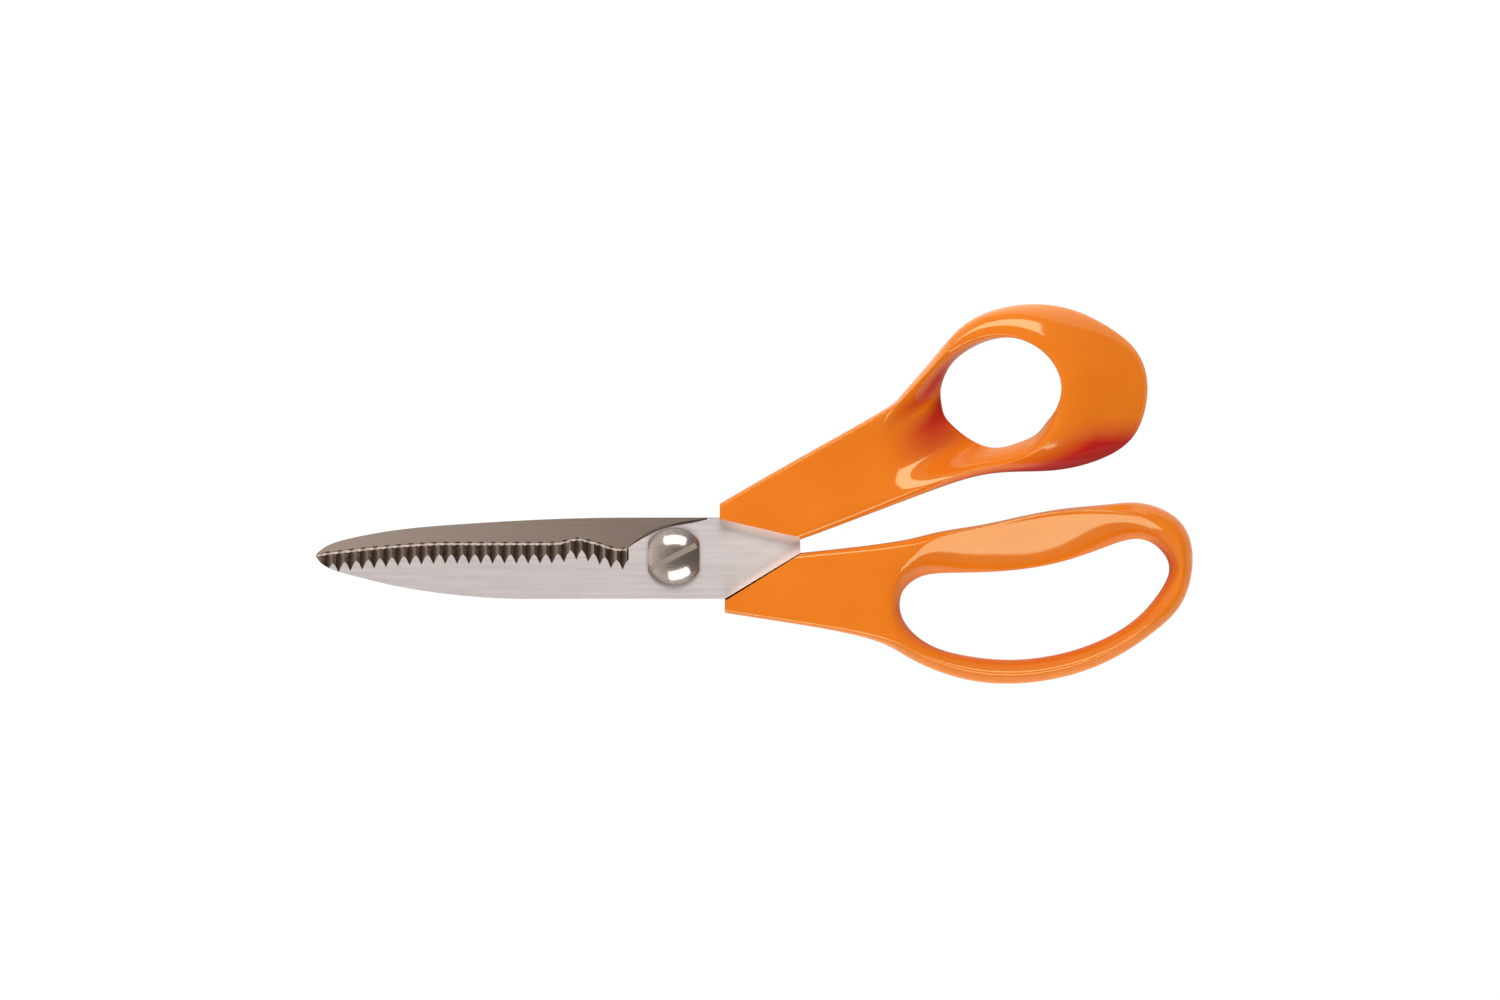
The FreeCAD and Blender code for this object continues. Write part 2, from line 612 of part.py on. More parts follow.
def make_nut():
    """Hexagonal lock nut with chamfered corners."""
    body = new_body("lock_nut_body")
    low = "-Sizes.half_gap - Sizes.blade_thick - Sizes.lock_thick - Sizes.nut_thick"
    hexagon = new_sketch(body, "nut_hexagon", height=low)
    radius = size("nut_flats") / math.sqrt(3)
    turns = [math.radians(60 * k + 12) for k in range(6)]
    corners = [(radius * math.cos(t), radius * math.sin(t)) for t in turns]
    draw_chain(hexagon, *[[a, b] for a, b in zip(corners, corners[1:] + corners[:1])])
    draw_circle(hexagon, "Sizes.thread_dia")
    pad(body, hexagon, "nut_pad", "Sizes.nut_thick")

    # the corners are turned off by a cone, as on a machined nut
    bottom = -(outer_face() + size("lock_thick") + size("nut_thick"))
    corner = new_sketch(body, "nut_corner", role="XZ_Plane")
    inner = size("nut_flats") / 2 - size("nut_chamfer") / 4
    reach = radius + 0.5
    rise = (reach - inner) * math.tan(math.radians(30))
    triangle = [(inner, bottom), (reach, bottom), (reach, bottom + rise)]
    draw_chain(corner, *[[a, b] for a, b in zip(triangle, triangle[1:] + triangle[:1])])
    groove = body.newObject("PartDesign::Groove", "nut_chamfer")
    groove.Profile = corner
    groove.ReferenceAxis = (corner, ["V_Axis"])
    groove.Angle = 360
    doc.recompute()
    return place(body, "lock_nut")


# ---------------------------------------------------------------- build and export
front_blade = make_blade("front_blade", 1, FRONT_TANG_HOLES)
rear_blade = make_blade("rear_blade", -1, REAR_TANG_HOLES)
make_handles(front_blade, rear_blade)
make_screw()
make_thrust_washer()
make_lock_washer()
make_nut()
doc.recompute()

LABELS = ["front_blade", "rear_blade", "thumb_handle", "finger_handle", "pivot_screw",
          "thrust_washer", "lock_washer", "lock_nut"]


def export_parts():
    """Check every object and every sub-part, then write the sub-parts."""
    failed = [o.Name for o in doc.Objects if "Invalid" in o.State or "Error" in o.State]
    assert not failed, f"failed objects: {failed}"
    os.makedirs("parts", exist_ok=True)
    whole = FreeCAD.BoundBox()
    for label in LABELS:
        shape = doc.getObjectsByLabel(label)[0].Shape
        assert not shape.isNull() and shape.isValid() and shape.Solids, f"{label} is not a valid solid"
        whole.add(shape.BoundBox)
        shape.exportStep(f"parts/{label}.step")
        print(f"{label}: {len(shape.Solids)} solid, {shape.Volume / 1000:.2f} cm3")
    spans = (whole.XMin, whole.XMax, whole.YMin, whole.YMax, whole.ZMin, whole.ZMax)
    print("box", [round(v, 2) for v in spans])


export_parts()
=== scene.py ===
import math

import bmesh
import bpy
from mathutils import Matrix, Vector
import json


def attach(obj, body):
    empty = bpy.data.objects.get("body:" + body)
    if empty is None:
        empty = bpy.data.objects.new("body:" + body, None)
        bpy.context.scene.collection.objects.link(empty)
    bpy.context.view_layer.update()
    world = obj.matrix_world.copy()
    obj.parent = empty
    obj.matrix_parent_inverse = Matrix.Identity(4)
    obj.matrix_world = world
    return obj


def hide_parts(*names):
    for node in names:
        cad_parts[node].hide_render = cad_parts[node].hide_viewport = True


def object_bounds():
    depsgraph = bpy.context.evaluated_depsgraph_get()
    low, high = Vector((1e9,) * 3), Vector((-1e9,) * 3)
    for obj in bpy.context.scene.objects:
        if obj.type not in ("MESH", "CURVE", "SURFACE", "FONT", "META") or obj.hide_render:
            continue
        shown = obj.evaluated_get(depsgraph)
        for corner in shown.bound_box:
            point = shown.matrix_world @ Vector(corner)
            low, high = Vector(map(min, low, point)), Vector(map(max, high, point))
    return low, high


# Pinking shears lying on a white table, seen from straight above under a light tent.
# The blades and the pivot hardware are the CAD solids with worked steel materials. The two
# moulded handles are built here as subdivision surfaces over the same cross-sections that the
# CAD handles have, trimmed where they meet the ricasso. Lengths are in mm about the pivot.

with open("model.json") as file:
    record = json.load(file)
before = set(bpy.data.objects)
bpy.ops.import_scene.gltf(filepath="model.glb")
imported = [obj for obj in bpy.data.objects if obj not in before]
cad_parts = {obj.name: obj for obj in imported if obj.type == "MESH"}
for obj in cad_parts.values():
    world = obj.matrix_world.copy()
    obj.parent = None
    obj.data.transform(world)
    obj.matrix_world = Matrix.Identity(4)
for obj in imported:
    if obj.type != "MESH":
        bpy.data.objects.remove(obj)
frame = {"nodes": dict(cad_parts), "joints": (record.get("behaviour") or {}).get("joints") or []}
cad_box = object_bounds()

MM = 0.001
X, Y, Z = 0, 1, 2
PIVOT = Vector(frame["joints"][0]["pos_m"])
NODES = frame["nodes"]

# camera: the view's middle about the pivot, its distance, and a 100 mm lens
VIEW_MIDDLE = (18.2, 13.5)
VIEW_DISTANCE = 997.0
LENS = 100.0
SENSOR_WIDTH = 36.0

# light tent: two softboxes lean over the table from both sides, with a dim gap round the lens
SOFTBOX_DISTANCE = 0.95
TENT_MIDDLE = Vector((0.03, 0.02, 0))
TABLE_WIDTH = 4.0
TABLE_GLOW = 1.04
GLOW_SHARE = 0.95

# the screw's dome: its radius, and its top over the mating plane, in metres
DOME_RADIUS = 0.0094
DOME_TOP = 0.00598
# its slot: how far out and how far down it is painted, and how far under the dome it starts
SLOT_REACH = 0.0066
SLOT_LOWEST = 0.0024
SLOT_START = 0.00012
RIM = (0.0058, 0.0068)

# the heel of the teeth along x, in mm from the pivot
TEETH_HEEL = -11.2

# the handles' skins: how finely they are subdivided, and how the cross-sections' corners are rounded
HANDLE_SUBDIVISION = 4
SETTLING_PASSES = 12
MOST_ROUNDED = 0.38
CROWN_WIDTH = 12.0
CORNER_ANGLE = 38.0
SMALLEST_EDGE = 2e-6

# half the gap at the mating plane, and the room left at the stop faces
HALF_GAP = 0.05
CLEAR = 0.4
# the ricasso's end and the two handles' noses along x, and a distance well past a handle
RICASSO_END = 30.2
THUMB_NOSE = 11
FINGER_NOSE = 12.2
FAR = 40
DEEP = 30
# heights in plan at the nose and at the ricasso's end: each handle's lap line, and the other
# blade's ricasso edge that it stops on
THUMB_LAP = (9.0, 4.55)
FINGER_LAP = (-9.2, 1.0)
REAR_RICASSO = (9.3, -0.7)
FRONT_RICASSO = (-10.1, 0.84)

# Stations round each handle's hole: front inner, front outer, rear outer and rear inner corner,
# and how softly the front inner edge rounds off.
THUMB_STATIONS = [
    ((91.0, 39.5, 5.2), (97.5, 39.5, 4.2), (115.5, 40.2, -7.5), (107.6, 39.5, -12.3), 1.4),
    ((89.8, 44.7, 5.4), (95.6, 47.2, 4.1), (112.6, 50.0, -7.2), (104.4, 46.6, -12.2), 1.4),
    ((85.9, 49.2, 5.7), (90.2, 55.2, 3.4), (103.9, 56.8, -6.6), (97.0, 51.2, -11.8), 1.3),
    ((80.0, 51.8, 5.8), (81.0, 58.4, 3.6), (94.0, 60.6, -6.0), (88.5, 53.6, -11.0), 1.2),
    ((73.8, 51.7, 5.8), (72.2, 57.0, 3.8), (82.6, 60.8, -5.4), (79.0, 53.0, -10.0), 1.1),
    ((68.2, 49.4, 5.4), (65.8, 52.2, 4.3), (71.8, 57.0, -5.0), (72.0, 50.2, -9.0), 1.0),
    ((62.4, 44.8, 5.0), (60.9, 45.4, 4.8), (62.5, 47.9, -4.8), (67.5, 46.2, -8.2), 0.9),
    ((56.9, 38.6, 4.8), (54.3, 38.3, 4.8), (54.9, 38.8, -4.8), (65.5, 41.1, -7.6), 0.9),
    ((52.0, 33.4, 4.8), (40.2, 29.3, 4.8), (40.2, 29.3, -4.8), (65.8, 37.6, -7.2), 1.4),
    ((49.4, 28.4, 4.8), (-8.0, 0.1, 4.8), (-8.0, 0.1, -4.8), (66.8, 34.7, -7.0), 3.0),
    ((49.2, 23.4, 4.8), (6.0, -3.5, 4.8), (6.0, -3.5, -4.8), (68.7, 32.5, -7.0), 3.6),
    ((53.0, 18.6, 4.8), (45.0, 9.6, 4.8), (45.0, 9.6, -4.8), (71.3, 30.2, -7.2), 3.0),
    ((63.4, 19.4, 4.8), (62.5, 16.3, 4.0), (63.0, 16.3, -5.0), (74.4, 28.1, -7.8), 1.8),
    ((73.8, 22.2, 4.4), (73.8, 20.2, 3.6), (77.0, 19.9, -6.0), (79.2, 27.0, -9.0), 1.4),
    ((83.2, 24.5, 4.3), (84.4, 22.8, 3.5), (92.3, 20.0, -7.0), (84.9, 28.8, -10.4), 1.3),
    ((88.6, 30.2, 4.6), (92.6, 27.4, 3.7), (105.5, 23.4, -7.6), (88.6, 30.5, -11.6), 1.3),
    ((90.1, 34.6, 5.0), (96.2, 33.0, 3.9), (113.1, 29.8, -7.6), (94.5, 34.2, -12.1), 1.4),
]
FINGER_STATIONS = [
    ((119.0, -2.6, 3.4), (123.4, -1.5, 3.2), (124.4, -1.0, -3.8), (119.2, -2.6, -4.2), 2.0),
    ((117.4, 3.0, 4.2), (120.8, 7.8, 3.6), (121.6, 8.0, -4.2), (116.6, 1.2, -5.0), 1.8),
    ((112.2, 7.8, 5.0), (112.6, 12.1, 4.0), (112.7, 12.6, -4.6), (111.2, 3.2, -3.8), 1.5),
    ((103.6, 10.0, 5.4), (104.0, 12.0, 4.4), (104.0, 12.4, -4.8), (104.0, 1.0, -3.4), 1.2),
    ((93.6, 10.4, 5.6), (93.4, 11.1, 4.6), (93.4, 11.2, -5.0), (95.5, -2.2, -3.2), 1.1),
    ((83.5, 8.9, 5.6), (83.3, 9.4, 4.8), (83.4, 9.3, -5.0), (87.0, -4.2, -3.1), 1.1),
    ((73.4, 6.4, 5.4), (73.0, 7.2, 4.8), (73.2, 7.2, -5.0), (78.0, -5.1, -3.1), 1.1),
    ((64.0, 3.4, 5.0), (62.0, 5.3, 4.8), (62.0, 5.3, -4.8), (69.0, -5.2, -3.2), 1.1),
    ((57.2, -0.8, 4.8), (44.0, 2.2, 4.8), (44.0, 2.2, -4.8), (61.4, -5.2, -4.2), 1.2),
    ((53.4, -5.6, 4.8), (-4.0, -3.5, 4.8), (-4.0, -3.5, -4.8), (56.6, -7.4, -5.0), 1.4),
    ((52.4, -10.6, 4.8), (-4.0, -10.5, 4.8), (-4.0, -10.5, -4.8), (54.4, -10.6, -5.0), 1.6),
    ((53.9, -16.2, 4.8), (39.0, -17.8, 4.8), (39.0, -17.8, -4.8), (55.3, -15.6, -4.8), 1.8),
    ((60.2, -21.6, 4.6), (55.7, -23.7, 4.0), (55.7, -23.7, -4.4), (60.8, -21.0, -4.6), 1.8),
    ((69.5, -24.5, 4.2), (67.1, -28.5, 3.4), (67.1, -28.5, -4.0), (69.7, -24.0, -4.4), 1.8),
    ((80.0, -25.5, 4.0), (80.0, -30.2, 3.2), (80.0, -30.2, -3.8), (80.0, -25.1, -4.2), 1.8),
    ((91.2, -24.4, 3.8), (93.5, -28.5, 3.0), (93.5, -28.5, -3.6), (91.0, -23.9, -4.0), 1.8),
    ((102.4, -20.8, 3.8), (105.4, -24.0, 3.0), (105.4, -24.0, -3.6), (102.1, -20.4, -4.0), 1.8),
    ((111.6, -15.0, 3.6), (114.9, -17.7, 3.0), (114.9, -17.7, -3.6), (111.4, -14.7, -4.0), 1.8),
    ((117.3, -8.1, 3.5), (121.4, -10.8, 3.0), (121.4, -10.8, -3.6), (117.2, -7.9, -4.0), 1.8),
]
OUTER_SOFTNESS = 1.5
CROWN = 0.45
SCOOP_CROWN = 0.9

# what is cut away at each handle's nose, above and below the mating plane
THUMB_CUTS = [
    ([(-FAR, -DEEP), (RICASSO_END, -DEEP), (RICASSO_END, THUMB_LAP[1]), (THUMB_NOSE, THUMB_LAP[0]),
      (THUMB_NOSE, FAR), (-FAR, FAR)], HALF_GAP, DEEP),
    ([(-FAR, -DEEP), (RICASSO_END + CLEAR, -DEEP), (RICASSO_END + CLEAR, REAR_RICASSO[1]),
      (FINGER_NOSE + CLEAR / 2, REAR_RICASSO[0] + CLEAR), (THUMB_NOSE, REAR_RICASSO[0] + CLEAR),
      (THUMB_NOSE, FAR), (-FAR, FAR)], -DEEP, HALF_GAP),
]
FINGER_CUTS = [
    ([(-FAR, DEEP), (-FAR, -FAR), (FINGER_NOSE, -FAR), (FINGER_NOSE, FRONT_RICASSO[0] - 1.2 * CLEAR),
      (RICASSO_END + CLEAR, FRONT_RICASSO[1]), (RICASSO_END + CLEAR, DEEP)], -HALF_GAP, DEEP),
    ([(-FAR, DEEP), (-FAR, -FAR), (FINGER_NOSE, -FAR), (FINGER_NOSE, FINGER_LAP[0]),
      (RICASSO_END, FINGER_LAP[1]), (RICASSO_END, DEEP)], -DEEP, -HALF_GAP),
]


# ---------------------------------------------------------------- handles
def toward(start, end, distance):
    """A point the given distance from start towards end, but short of the side's middle."""
    span = end - start
    return start + span * min(MOST_ROUNDED, distance / max(span.length, 1e-6))


def section_poles(station):
    """Twelve poles round one cross-section: two at each corner and one on each side."""
    corners = [Vector(p) for p in station[:4]]
    softness = [station[4], OUTER_SOFTNESS, OUTER_SOFTNESS, OUTER_SOFTNESS]
    crowns = [CROWN, CROWN, CROWN, SCOOP_CROWN]
    middle = sum(corners, Vector()) / 4
    poles = []
    for k in range(4):
        here, after = corners[k], corners[(k + 1) % 4]
        side_middle = (here + after) / 2
        reach = min(1.0, CROWN_WIDTH / max((after - here).length, 1e-6))
        poles.append(toward(here, after, softness[k]))
        poles.append(side_middle + (side_middle - middle).normalized() * crowns[k] * reach)
        poles.append(toward(after, here, softness[(k + 1) % 4]))
    return poles


def through(rows):
    """Move the rows of poles out so that the surface passes through them round the ring."""
    count = len(rows)
    poles = [list(row) for row in rows]
    for _ in range(SETTLING_PASSES):
        nudged = []
        for i in range(count):
            before, after = poles[i - 1], poles[(i + 1) % count]
            nudged.append([
                pole + rows[i][j] - (before[j] + pole * 4 + after[j]) / 6
                for j, pole in enumerate(poles[i])
            ])
        poles = nudged
    return poles


def new_object(name, data):
    """Add an object to the scene for a mesh, a light or a camera."""
    obj = bpy.data.objects.new(name, data)
    bpy.context.scene.collection.objects.link(obj)
    return obj


def apply_modifier(obj, kind, **settings):
    """Add one modifier, and bake it into the object's mesh at once."""
    modifier = obj.modifiers.new(kind.lower(), kind)
    for key, value in settings.items():
        setattr(modifier, key, value)
    depsgraph = bpy.context.evaluated_depsgraph_get()
    mesh = bpy.data.meshes.new_from_object(obj.evaluated_get(depsgraph))
    obj.modifiers.clear()
    obj.data = mesh


def prism(outline, low, high):
    """An upright prism on a plan outline, for cutting."""
    bm = bmesh.new()
    rings = [[bm.verts.new(PIVOT + Vector((x, y, z)) * MM) for x, y in outline] for z in (low, high)]
    bm.faces.new(rings[0][::-1])
    bm.faces.new(rings[1])
    for i in range(len(outline)):
        j = (i + 1) % len(outline)
        bm.faces.new((rings[0][i], rings[0][j], rings[1][j], rings[1][i]))
    bmesh.ops.recalc_face_normals(bm, faces=bm.faces[:])
    mesh = bpy.data.meshes.new("cutter")
    bm.to_mesh(mesh)
    bm.free()
    return new_object("cutter", mesh)


def handle_cage(name, stations):
    """The ring of cross-sections as a cage of quads, whose subdivision is the handle's skin."""
    rows = through([section_poles(station) for station in stations])
    count, columns = len(rows), len(rows[0])
    vertices = [PIVOT + pole * MM for row in rows for pole in row]
    faces = []
    for i in range(count):
        after = (i + 1) % count
        for j in range(columns):
            k = (j + 1) % columns
            faces.append((i * columns + j, after * columns + j, after * columns + k, i * columns + k))
    mesh = bpy.data.meshes.new(name)
    mesh.from_pydata(vertices, [], faces)
    obj = new_object(name, mesh)
    bm = bmesh.new()
    bm.from_mesh(mesh)
    bmesh.ops.recalc_face_normals(bm, faces=bm.faces[:])
    bm.to_mesh(mesh)
    bm.free()
    return obj


def smooth_but_for_corners(obj):
    """Smooth shading, with the trimmed edges kept crisp."""
    bm = bmesh.new()
    bm.from_mesh(obj.data)
    bmesh.ops.dissolve_degenerate(bm, dist=SMALLEST_EDGE, edges=bm.edges[:])
    for face in bm.faces:
        face.smooth = True
    limit = math.radians(CORNER_ANGLE)
    for edge in bm.edges:
        edge.smooth = len(edge.link_faces) == 2 and edge.calc_face_angle(0) < limit
    bm.to_mesh(obj.data)
    bm.free()


def set_material(obj, material):
    obj.data.materials.clear()
    obj.data.materials.append(material)


def build_handle(name, stations, cuts, node, body, material):
    """One moulded handle, standing for its CAD node."""
    handle = handle_cage(name, stations)
    apply_modifier(handle, "SUBSURF", levels=HANDLE_SUBDIVISION, use_limit_surface=True)
    for outline, low, high in cuts:
        cutter = prism(outline, low, high)
        apply_modifier(handle, "BOOLEAN", operation="DIFFERENCE", object=cutter, solver="EXACT")
        bpy.data.objects.remove(cutter)
    smooth_but_for_corners(handle)
    set_material(handle, material)
    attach(handle, body)
    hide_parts(node)


# ---------------------------------------------------------------- node helpers
class Graph:
    """A small helper for writing material nodes."""

    def __init__(self, name):
        self.material = bpy.data.materials.new(name)
        self.material.use_nodes = True
        self.tree = self.material.node_tree
        self.shader = self.tree.nodes["Principled BSDF"]
        self.coords = self.add("ShaderNodeTexCoord")

    def add(self, kind, **settings):
        node = self.tree.nodes.new(kind)
        for key, value in settings.items():
            setattr(node, key, value)
        return node

    def link(self, source, target):
        self.tree.links.new(source, target)

    def feed(self, socket, value):
        """Give a socket a number, a colour or another socket's output."""
        if isinstance(value, bpy.types.NodeSocket):
            self.link(value, socket)
        else:
            socket.default_value = value

    def split(self, coordinate):
        """The three parts of one texture coordinate, such as Object or Normal."""
        node = self.add("ShaderNodeSeparateXYZ")
        self.link(self.coords.outputs[coordinate], node.inputs[0])
        return node.outputs

    def math(self, operation, a, b=0.0):
        node = self.add("ShaderNodeMath", operation=operation)
        for socket, value in zip(node.inputs, (a, b)):
            self.feed(socket, value)
        return node.outputs[0]

    def product(self, first, *others):
        """Multiply any number of masks."""
        for other in others:
            first = self.math("MULTIPLY", first, other)
        return first

    def mix(self, factor, a, b):
        """Mix two colours."""
        node = self.add("ShaderNodeMix", data_type="RGBA")
        self.feed(node.inputs["Factor"], factor)
        self.feed(node.inputs[6], a)
        self.feed(node.inputs[7], b)
        return node.outputs[2]

    def noise(self, scale, stretch, detail, roughness=0.55):
        mapping = self.add("ShaderNodeMapping")
        mapping.inputs["Scale"].default_value = stretch
        self.link(self.coords.outputs["Object"], mapping.inputs["Vector"])
        node = self.add("ShaderNodeTexNoise")
        self.link(mapping.outputs[0], node.inputs["Vector"])
        node.inputs["Scale"].default_value = scale
        node.inputs["Detail"].default_value = detail
        node.inputs["Roughness"].default_value = roughness
        return node.outputs["Fac"]

    def ramp(self, value, low, high, low_out=0.0, high_out=1.0):
        node = self.add("ShaderNodeMapRange")
        self.link(value, node.inputs["Value"])
        for key, number in (("From Min", low), ("From Max", high), ("To Min", low_out), ("To Max", high_out)):
            node.inputs[key].default_value = number
        return node.outputs[0]

    def fade(self, place, axis, start, end, most=1.0):
        """A mask that rises along an axis from 0 at start to its most at end, in mm from the pivot."""
        return self.ramp(place[axis], PIVOT[axis] + start * MM, PIVOT[axis] + end * MM, 0.0, most)

    def occlusion(self, distance, **settings):
        """How open the surroundings are, within a distance in metres."""
        node = self.add("ShaderNodeAmbientOcclusion", samples=8, **settings)
        node.inputs["Distance"].default_value = distance
        return node.outputs["AO"]

    def bump(self, height, strength, distance):
        node = self.add("ShaderNodeBump")
        node.inputs["Strength"].default_value = strength
        node.inputs["Distance"].default_value = distance
        self.link(height, node.inputs["Height"])
        self.link(node.outputs[0], self.shader.inputs["Normal"])

    def set(self, **inputs):
        """Set shader sockets by name, with underscores for spaces."""
        for key, value in inputs.items():
            self.feed(self.shader.inputs[key.replace("_", " ")], value)


# ---------------------------------------------------------------- materials
def orange_plastic():
    """Glossy moulded plastic: faint flow marks, fine surface waviness, painted shade that turns it deep red
    in its hollows and down some walls, and painted light on its steep walls.
    """
    g = Graph("orange_plastic")
    flow = g.noise(60.0, (1.0, 1.0, 1.0), 3.0)
    base = g.mix(g.ramp(flow, 0.35, 0.65), (0.655, 0.153, 0.0070, 1), (0.695, 0.168, 0.0088, 1))
    place, normal = g.split("Object"), g.split("Normal")
    # painted shade: deeper red low on the thumb loop's near wall and down its scoop
    near_wall = g.product(
        g.ramp(normal[Y], -0.18, -0.5),
        g.fade(place, Z, 4.5, -1.0),
        g.fade(place, Y, 14.0, 18.0),
    )
    scoop = g.product(
        g.ramp(normal[X], 0.10, 0.5),
        g.fade(place, X, 72.0, 62.0),
        g.fade(place, Z, 4.0, -5.0),
        g.ramp(normal[Y], -0.15, 0.12),
    )
    # and painted shade on the far and end walls inside the finger loop
    faces_in = g.math("MAXIMUM", normal[Y], g.math("MULTIPLY", normal[X], -1.0))
    loop_wall = g.product(
        g.ramp(faces_in, 0.35, 0.8),
        g.fade(place, Z, 3.5, -0.5, 0.75),
        g.fade(place, Y, 14.0, 12.0),
        g.fade(place, X, 50.0, 58.0),
    )
    # all the painted shade together, kept to faces that don't look down
    painted_shade = g.math("ADD", g.math("ADD", near_wall, scoop), loop_wall)
    painted_shade = g.math("MULTIPLY", painted_shade, g.ramp(normal[Z], -0.05, 0.12))
    # painted shade: where the handle's own shape hems it in, and under the painted shade masks, the colour
    # turns deep red
    openness = g.math("SUBTRACT", g.ramp(g.occlusion(0.016, only_local=True), 0.42, 0.92), painted_shade)
    # painted light: the steep walls are painted a lighter, more saturated orange than the faces
    wall = g.ramp(g.math("ABSOLUTE", normal[Z]), 0.55, 0.2)
    base = g.mix(wall, base, (0.80, 0.25, 0.016, 1))
    base = g.mix(openness, (0.44, 0.012, 0.012, 1), base)
    smudge = g.noise(140.0, (1.0, 1.0, 1.0), 6.0, 0.6)
    g.set(
        Base_Color=base,
        Roughness=g.ramp(smudge, 0.3, 0.75, 0.07, 0.12),
        # the painted shade also dims the reflection
        IOR=g.ramp(openness, 0.0, 0.6, 1.2, 1.52),
        Specular_Tint=(0.72, 1.0, 0.60, 1),
    )
    g.bump(g.noise(420.0, (1.0, 1.0, 1.0), 2.0), 0.10, 0.00004)
    return g.material


def blade_steel(name, outward):
    """Stainless blade: brushed outer face, ground flutes painted dark as shade, bright honed edge, polished
    inside; painted shade on its walls and neck bevel, and painted light beside the handles.

    outward is 1 when the blade's outer face looks up and -1 when it looks down.
    """
    g = Graph(name)
    along, across, upward = g.split("Normal")
    out = g.math("MULTIPLY", upward, float(outward))
    place = g.split("Object")

    on_outer = g.math("GREATER_THAN", out, 0.985)
    on_inner = g.math("LESS_THAN", out, -0.97)
    leaning = g.math("GREATER_THAN", g.math("ABSOLUTE", along), 0.3)
    toothed = g.math("LESS_THAN", place[X], PIVOT.x + TEETH_HEEL * MM)
    in_flute = g.product(leaning, g.math("GREATER_THAN", out, 0.58), toothed)
    honed = g.product(
        g.math("GREATER_THAN", out, 0.45),
        g.math("LESS_THAN", out, 0.58),
        g.math("GREATER_THAN", g.math("ABSOLUTE", across), 0.5),
        toothed,
    )
    # painted shade: the bevel along the neck is painted dark, and its reflection is turned off
    neck_painted_shade = g.product(g.math("GREATER_THAN", out, 0.1), g.math("LESS_THAN", out, 0.5))
    neck_painted_shade = g.math("SUBTRACT", neck_painted_shade, toothed)
    neck_painted_shade = g.math("MAXIMUM", neck_painted_shade, 0.0)
    faces_tip = g.math("LESS_THAN", along, 0.0)

    # brushing runs along the blade: long fine lines, a few deeper ones, and soft cloudiness
    lines = g.noise(1.0, (90.0, 4200.0, 4200.0), 5.0, 0.65)
    scratches = g.noise(1.0, (35.0, 1500.0, 1500.0), 3.0, 0.5)
    clouds = g.noise(1.0, (30.0, 90.0, 90.0), 3.0)
    grain = g.math("ADD", g.math("MULTIPLY", lines, 0.6), g.math("MULTIPLY", scratches, 0.4))

    outer = g.mix(g.ramp(grain, 0.3, 0.7), (0.415, 0.375, 0.368, 1), (0.58, 0.535, 0.527, 1))
    outer = g.mix(g.ramp(clouds, 0.3, 0.7, 0.0, 0.35), outer, (0.455, 0.418, 0.41, 1))
    # painted light: near the handles the face is brightened where the handles' lips shade it
    painted_light_by_handles = g.product(g.fade(place, X, 10.0, 16.0), g.ramp(g.occlusion(0.006), 1.0, 0.6))
    outer = g.mix(painted_light_by_handles, outer, (0.88, 0.82, 0.80, 1))
    toward_handle = g.fade(place, X, -80.0, 10.0)
    inner = g.mix(toward_handle, (0.95, 0.77, 0.66, 1), (0.52, 0.40, 0.33, 1))
    inner = g.mix(g.ramp(lines, 0.35, 0.65, 0.0, 0.25), inner, (0.95, 0.82, 0.72, 1))
    # painted shade: the flutes are painted dark, the flank facing the handle darkest; their grinding
    # roughness is real
    flute = g.mix(faces_tip, (0.048, 0.028, 0.019, 1), (0.18, 0.14, 0.115, 1))
    flute = g.mix(g.ramp(scratches, 0.3, 0.7, 0.0, 0.12), flute, (0.36, 0.30, 0.26, 1))
    # painted shade: the side walls are painted dark grey and the bevels near black
    wall = g.mix(g.math("GREATER_THAN", out, 0.1), (0.22, 0.19, 0.175, 1), (0.035, 0.027, 0.023, 1))
    colour = g.mix(on_outer, wall, outer)
    colour = g.mix(on_inner, colour, inner)
    colour = g.mix(in_flute, colour, flute)
    colour = g.mix(honed, colour, (0.46, 0.39, 0.34, 1))

    roughness = g.math("MULTIPLY", on_outer, g.ramp(grain, 0.3, 0.7, 0.30, 0.42))
    roughness = g.math("ADD", roughness, 0.16)
    roughness = g.math("ADD", roughness, g.math("MULTIPLY", g.math("ADD", honed, in_flute), 0.32))
    # the brushed lines spread the light sideways, across the blade
    sideways = g.add(
        "ShaderNodeVectorTransform", vector_type="VECTOR", convert_from="OBJECT", convert_to="WORLD"
    )
    sideways.inputs[0].default_value = (0, 1, 0)
    g.set(
        Base_Color=colour,
        # the neck's painted shade also takes away its metal and its reflection
        Metallic=g.math("SUBTRACT", 1.0, g.math("ADD", g.math("MULTIPLY", honed, 0.7), neck_painted_shade)),
        IOR=g.math("SUBTRACT", 1.5, g.math("MULTIPLY", neck_painted_shade, 0.42)),
        Roughness=roughness,
        Anisotropic=g.math("MULTIPLY", on_outer, 0.75),
        Tangent=sideways.outputs[0],
    )
    height = g.math("MULTIPLY", grain, g.math("ADD", g.math("MULTIPLY", on_outer, 0.8), 0.2))
    g.bump(height, 0.25, 0.00002)
    return g.material


def radius_node(g):
    """Distance from the pivot axis."""
    offset = g.add("ShaderNodeVectorMath", operation="SUBTRACT")
    g.link(g.coords.outputs["Object"], offset.inputs[0])
    offset.inputs[1].default_value = PIVOT
    flat = g.add("ShaderNodeVectorMath", operation="MULTIPLY")
    g.link(offset.outputs[0], flat.inputs[0])
    flat.inputs[1].default_value = (1, 1, 0)
    radius = g.add("ShaderNodeVectorMath", operation="LENGTH")
    g.link(flat.outputs[0], radius.inputs[0])
    return radius.outputs["Value"]


